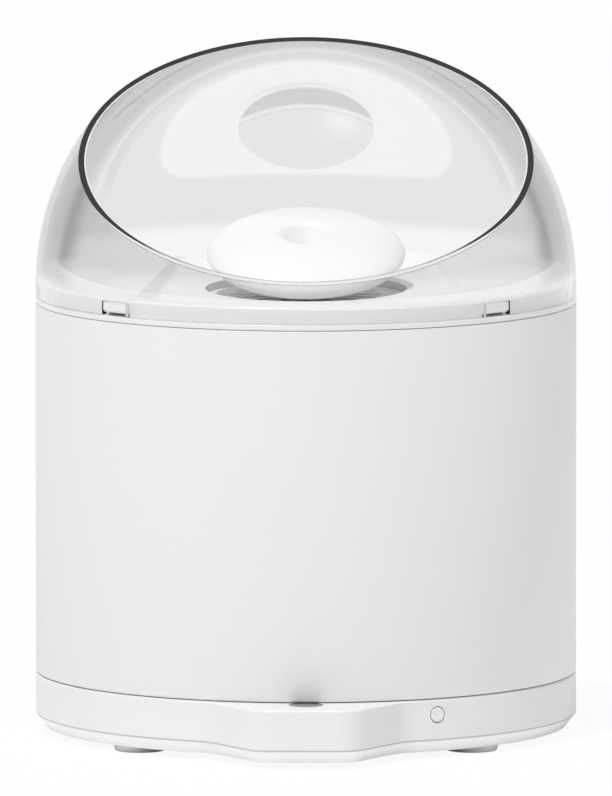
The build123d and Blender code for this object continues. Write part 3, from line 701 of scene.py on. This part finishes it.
class FOUNTAIN_OT_dome(bpy.types.Operator):
    """Model the clear dome: a thin ball that the leaning mouth cuts open, on a short
    straight skirt with four notches, and a shallow panel in its back"""

    bl_idname = "fountain.dome"
    bl_label = "Dome"

    around, over = 256, 128

    def execute(self, context):
        lean = (MOUTH_TILT, 0.0, 0.0)
        ball = bpy.ops.mesh.primitive_uv_sphere_add
        dome = start(ball, BALL_CENTRE, segments=self.around, ring_count=self.over,
                     radius=BODY_R, rotation=lean)
        ball(segments=self.around, ring_count=self.over, radius=BODY_R - CLEAR_WALL,
             location=BALL_CENTRE, rotation=lean)
        bpy.ops.mesh.flip_normals()
        bpy.ops.mesh.select_all(action="SELECT")
        bpy.ops.mesh.bisect(plane_co=BALL_CENTRE + MOUTH_DISTANCE * MOUTH_AXIS,
                            plane_no=MOUTH_AXIS, clear_outer=True, threshold=1e-6)
        bpy.ops.mesh.bridge_edge_loops()
        bpy.ops.mesh.select_all(action="SELECT")
        bpy.ops.mesh.bisect(plane_co=BALL_CENTRE, plane_no=(0, 0, 1), clear_inner=True,
                            threshold=1e-6)
        skirt = DOME_FOOT - BALL_CENTRE.z
        bpy.ops.mesh.extrude_edges_move(TRANSFORM_OT_translate={"value": (0, 0, skirt)})
        bpy.ops.mesh.bridge_edge_loops()
        bpy.ops.object.mode_set(mode="OBJECT")
        self.press_panel(dome)
        for turn in (45, 135):
            cut_away(dome, self.notch_cutter(turn))
        put_in(dome, "dome", "dome", angle=35.0)
        return {"FINISHED"}

    def press_panel(self, dome):
        """Press the panel a little into the outside of the back, all round the oval pad."""
        group = dome.vertex_groups.new(name="panel")
        for vertex in dome.data.vertices:
            place = vertex.co - BALL_CENTRE
            if place.y > 0 and place.length > BODY_R - CLEAR_WALL / 2:
                group.add([vertex.index], self.panel_weight(place.x, vertex.co.z), "REPLACE")
        bpy.ops.object.modifier_add(type="DISPLACE")
        press = dome.modifiers[-1]
        press.vertex_group = group.name
        press.mid_level = 0.0
        press.strength = -sizes().panel_depth
        bpy.ops.object.modifier_apply(modifier=press.name)
        dome.vertex_groups.clear()

    def panel_weight(self, x, z):
        """1 well inside the panel and off the pad, easing to 0 at their edges."""
        across = max(abs(x) - (PANEL_HALF - PANEL_CORNER), 0.0)
        inside = PANEL_CORNER - math.hypot(across, max(PANEL_MID - z, 0.0))
        rise = PANEL_HIGH - PANEL_MID
        under = PANEL_HALF * (1 - math.hypot(x / PANEL_HALF, max(z - PANEL_MID, 0.0) / rise))
        off_pad = PAD_HALF[0] * (math.hypot(x / PAD_HALF[0], (z - PAD_MID) / PAD_HALF[1]) - 1)
        share = min(max(min(inside, under, off_pad) / PANEL_SLOPE, 0.0), 1.0)
        return share * share * (3 - 2 * share)

    def notch_cutter(self, turn):
        """A bar across the body that takes out two opposite notches of the skirt."""
        low = DOME_FOOT - 0.002
        all_clear()
        bpy.ops.mesh.primitive_cube_add(
            size=1, location=(0, AXIS_Y, (low + NOTCH_TOP) / 2),
            scale=(2.2 * BODY_R, 2 * NOTCH_HALF, NOTCH_TOP - low),
            rotation=(0, 0, math.radians(turn)))
        return bpy.context.object


class FOUNTAIN_OT_pebble(bpy.types.Operator):
    """Model the tilted pebble with the funnel in its top and the stem's socket below"""

    bl_idname = "fountain.pebble"
    bl_label = "Spout Pebble"

    steps = 40

    def execute(self, context):
        pebble = draw_up(self.outline(), sides=144, axis=(0.0, 0.0))
        close_up()
        bpy.ops.transform.resize(value=(1, PEBBLE_HALF.y / PEBBLE_HALF.x, 1),
                                 center_override=(0, 0, 0))
        bpy.ops.object.mode_set(mode="OBJECT")
        pebble.matrix_world = (
            Matrix.Translation(PEBBLE_MID) @ Matrix.Rotation(sizes().pebble_tilt, 4, "X"))
        bpy.ops.object.transform_apply(location=True, rotation=True, scale=True)
        socket = draw_up([(SOCKET_R, SOCKET_LOW), (SOCKET_R, SOCKET_TOP)], sides=64)
        close_up()
        cut_away(pebble, socket)
        put_in(pebble, "spout_pebble", "spout", angle=40.0)
        return {"FINISHED"}

    def outline(self):
        """From the foot of the bore up through the funnel and round to the underside."""
        funnel, roll, bore = sizes().funnel, sizes().funnel_lip, sizes().spout
        shoulder = PEBBLE_HALF.z * math.sqrt(1 - (funnel / PEBBLE_HALF.x) ** 2)
        lip = shoulder - roll
        half = roll * math.sqrt(0.5)
        drop = funnel - half - bore
        points = [(bore, BORE_FOOT), (bore, lip + half - drop)]
        for step in range(6):
            turn = math.radians(45 - 9 * step)
            points.append((funnel - roll * math.sin(turn), lip + roll * math.cos(turn)))
        first = math.acos(funnel / PEBBLE_HALF.x)
        for step in range(1, self.steps + 1):
            turn = first - (first + math.radians(88)) * step / self.steps
            points.append((PEBBLE_HALF.x * math.cos(turn), PEBBLE_HALF.z * math.sin(turn)))
        return points


class FOUNTAIN_OT_small_parts(bpy.types.Operator):
    """Model the feet, the dark lens and the button"""

    bl_idname = "fountain.small_parts"
    bl_label = "Feet, Lens and Button"

    def execute(self, context):
        self.add_feet()
        self.add_lens()
        self.add_button()
        return {"FINISHED"}

    def add_feet(self):
        """One foot, with a soft lower edge and a shallow ring in its tread, and its copies."""
        low, high = FOOT_LOW, FOOT_HIGH
        middle = (low + high) / 2
        axis = (middle.x, middle.y)
        wide = (high.x - low.x) / 2
        tread = wide - FOOT_SLOPE
        foot = draw_up([
            (wide / 4, TREAD_DEEP), (wide * 0.62, TREAD_DEEP), (wide * 0.66, 0.0), (tread, 0.0),
            (wide, high.z - FOOT_TAPER), (wide, high.z), (wide / 4, high.z)],
            sides=72, axis=axis)
        close_up()
        round_ring(foot, tread, 0.0, FOOT_SOFT, axis=axis)
        bpy.ops.object.mode_set(mode="OBJECT")
        for name in ("foot_front_right", "foot_rear_left", "foot_rear_right"):
            all_clear()
            foot.select_set(True)
            bpy.context.view_layer.objects.active = foot
            bpy.ops.object.duplicate(linked=False)
            copy = bpy.context.object
            near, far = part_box(name)
            copy.location = (near + far) / 2 - middle
            bpy.ops.object.transform_apply(location=True)
            put_in(copy, name, "base")
        put_in(foot, "foot_front_left", "base")

    def add_lens(self):
        """Slightly domed lens with a fine round edge."""
        low, high = LENS_LOW, LENS_HIGH
        wide = (high.x - low.x) / 2
        axis = (0.0, (low.y + high.y) / 2)
        lens = draw_up([
            (wide / 2, low.z), (wide, low.z), (wide, high.z - LENS_CROWN),
            (wide * 0.6, high.z - LENS_CROWN / 3), (wide * 0.3, high.z)], sides=96, axis=axis)
        close_up()
        round_ring(lens, wide, high.z - LENS_CROWN, LENS_SOFT, axis=axis)
        put_in(lens, "indicator_lens", "base")

    def add_button(self):
        """Cap with a dished face, its collar behind the wall and the pin to the switch."""
        button = draw_up([
            (PIN_R / 2, PIN_BACK), (PIN_R, PIN_BACK), (PIN_R, COLLAR_BACK),
            (COLLAR_R, COLLAR_BACK), (COLLAR_R, COLLAR_FRONT), (BUTTON_R, COLLAR_FRONT),
            (BUTTON_R, 0.0), (BUTTON_R * 0.72, 0.0), (BUTTON_R * 0.5, -0.6 * BUTTON_DISH),
            (BUTTON_R * 0.25, -BUTTON_DISH)], sides=64, axis=(0.0, 0.0))
        close_up()
        round_ring(button, BUTTON_R, 0.0, BUTTON_SOFT, axis=(0.0, 0.0))
        bpy.ops.object.mode_set(mode="OBJECT")
        face = Vector((BUTTON_FACE * math.sin(BUTTON_TURN),
                       AXIS_Y - BUTTON_FACE * math.cos(BUTTON_TURN), BUTTON_Z))
        button.matrix_world = (
            Matrix.Translation(face) @ Matrix.Rotation(BUTTON_TURN, 4, "Z")
            @ Matrix.Rotation(math.pi / 2, 4, "X"))
        bpy.ops.object.transform_apply(location=True, rotation=True, scale=True)
        put_in(button, "button_cap", "button")


class FOUNTAIN_OT_stage(bpy.types.Operator):
    """Set up floor, room light, lamps and camera"""

    bl_idname = "fountain.stage"
    bl_label = "Studio"

    def execute(self, context):
        all_clear()
        room = studio()
        self.add_floor()
        self.add_room(room)
        self.add_key(room)
        self.add_camera(room)
        context.scene.view_settings.view_transform = "Standard"
        return {"FINISHED"}

    def add_floor(self):
        bpy.ops.mesh.primitive_plane_add(size=FLOOR_WIDE, location=(0, AXIS_Y, 0))
        floor = bpy.context.object
        floor.name = "floor"
        finish = Finish("floor")
        matte = finish.node("BsdfDiffuse", None, Color=(0.9, 0.9, 0.9, 1))
        white = finish.node("Emission", None, Color=(1, 1, 1, 1), Strength=1.0)
        path = finish.node("LightPath")
        seen = Expr(finish.tree, path.outputs["Is Camera Ray"])
        seen = seen.math("MAXIMUM", Expr(finish.tree, path.outputs["Is Transmission Ray"]))
        mixed = finish.node("MixShader", None, i0=FLOOR_WHITE * seen, i1=matte.outputs[0],
                            i2=white.outputs[0])
        floor.data.materials.append(finish.finish(mixed))

    def add_room(self, room):
        """Even soft light, a white backdrop, and a dim studio for gloss and glass to show."""
        world = bpy.data.worlds.new("studio")
        bpy.context.scene.world = world
        world.use_nodes = True
        sky = Finish.of(world.node_tree)
        facing = sky.node("TexCoord").outputs["Generated"]
        parts = sky.node("SeparateXYZ", None, Vector=facing)
        side, back, up = (Expr(sky.tree, parts.outputs[k]) for k in "XYZ")
        backdrop = back.between(*BACKDROP_EDGE)
        softbox = side.between(*SOFTBOX_SIDE) * up.between(*SOFTBOX_FOOT)
        softbox = softbox * (1 - up.between(*SOFTBOX_TOP))
        shine = ROOM_DIM + (1 - ROOM_DIM) * backdrop.math("MAXIMUM", SOFTBOX_GLOW * softbox)
        shine = shine.math("MAXIMUM", CEILING_GLOW * up.between(*CEILING))
        path = sky.node("LightPath")
        camera, through, glossy, mirrored = (
            Expr(sky.tree, path.outputs[k]) for k in
            ("Is Camera Ray", "Is Transmission Ray", "Is Glossy Ray", "Glossy Depth"))
        seen = camera.math("MAXIMUM", through) * mirrored.math("LESS_THAN", 0.5)
        gloss = glossy.math("MAXIMUM", through)
        soft = room.world + (shine - room.world) * gloss
        strength = soft + (1 - soft) * seen
        light = sky.node("Background", None, Color=(1, 1, 1, 1), Strength=strength)
        out = sky.node("OutputWorld")
        sky.tree.links.new(light.outputs[0], out.inputs["Surface"])

    def add_key(self, room):
        bpy.ops.object.light_add(type="SUN", location=(-1, -1, 3))
        key = bpy.context.object
        key.name = "key"
        key.data.energy = room.key
        key.data.angle = KEY_SOFT
        key.rotation_euler = KEY_SIDE.to_track_quat("Z", "Y").to_euler()

    def add_camera(self, room):
        bpy.ops.object.camera_add()
        camera = bpy.context.object
        camera.name = "camera"
        camera.data.lens = room.lens
        camera.data.sensor_width = 36
        aim = Vector((0, AXIS_Y, room.aim))
        back = Vector((0, -math.cos(room.tilt), math.sin(room.tilt)))
        camera.location = aim + room.distance * back
        camera.rotation_euler = (math.pi / 2 - room.tilt, 0, 0)
        camera.data.clip_end = 100
        bpy.context.scene.camera = camera


class FOUNTAIN_PT_panel(bpy.types.Panel):
    """Lists the steps that build the fountain"""

    bl_idname = "FOUNTAIN_PT_panel"
    bl_label = "Pet Water Fountain"
    bl_space_type = "VIEW_3D"
    bl_region_type = "UI"
    bl_category = "Fountain"

    def draw(self, context):
        column = self.layout.column(align=True)
        for step in STEPS:
            column.operator(step.bl_idname)
        for group in (colours(), sizes(), studio()):
            box = self.layout.box()
            for name in group.__annotations__:
                box.prop(group, name)


STEPS = (FOUNTAIN_OT_finishes, FOUNTAIN_OT_tank, FOUNTAIN_OT_dome, FOUNTAIN_OT_pebble,
         FOUNTAIN_OT_small_parts, FOUNTAIN_OT_stage)
GROUPS = {"fountain_colours": FountainColours, "fountain_sizes": FountainSizes,
          "fountain_studio": FountainStudio}


def register():
    for name, group in GROUPS.items():
        bpy.utils.register_class(group)
        setattr(bpy.types.Scene, name, bpy.props.PointerProperty(type=group))
    for step in (*STEPS, FOUNTAIN_PT_panel):
        bpy.utils.register_class(step)


def unregister():
    for step in (*STEPS, FOUNTAIN_PT_panel):
        bpy.utils.unregister_class(step)
    for name, group in GROUPS.items():
        delattr(bpy.types.Scene, name)
        bpy.utils.unregister_class(group)


def main():
    register()
    for step in STEPS:
        area, name = step.bl_idname.split(".")
        getattr(getattr(bpy.ops, area), name)()


if __name__ == "__main__":
    main()
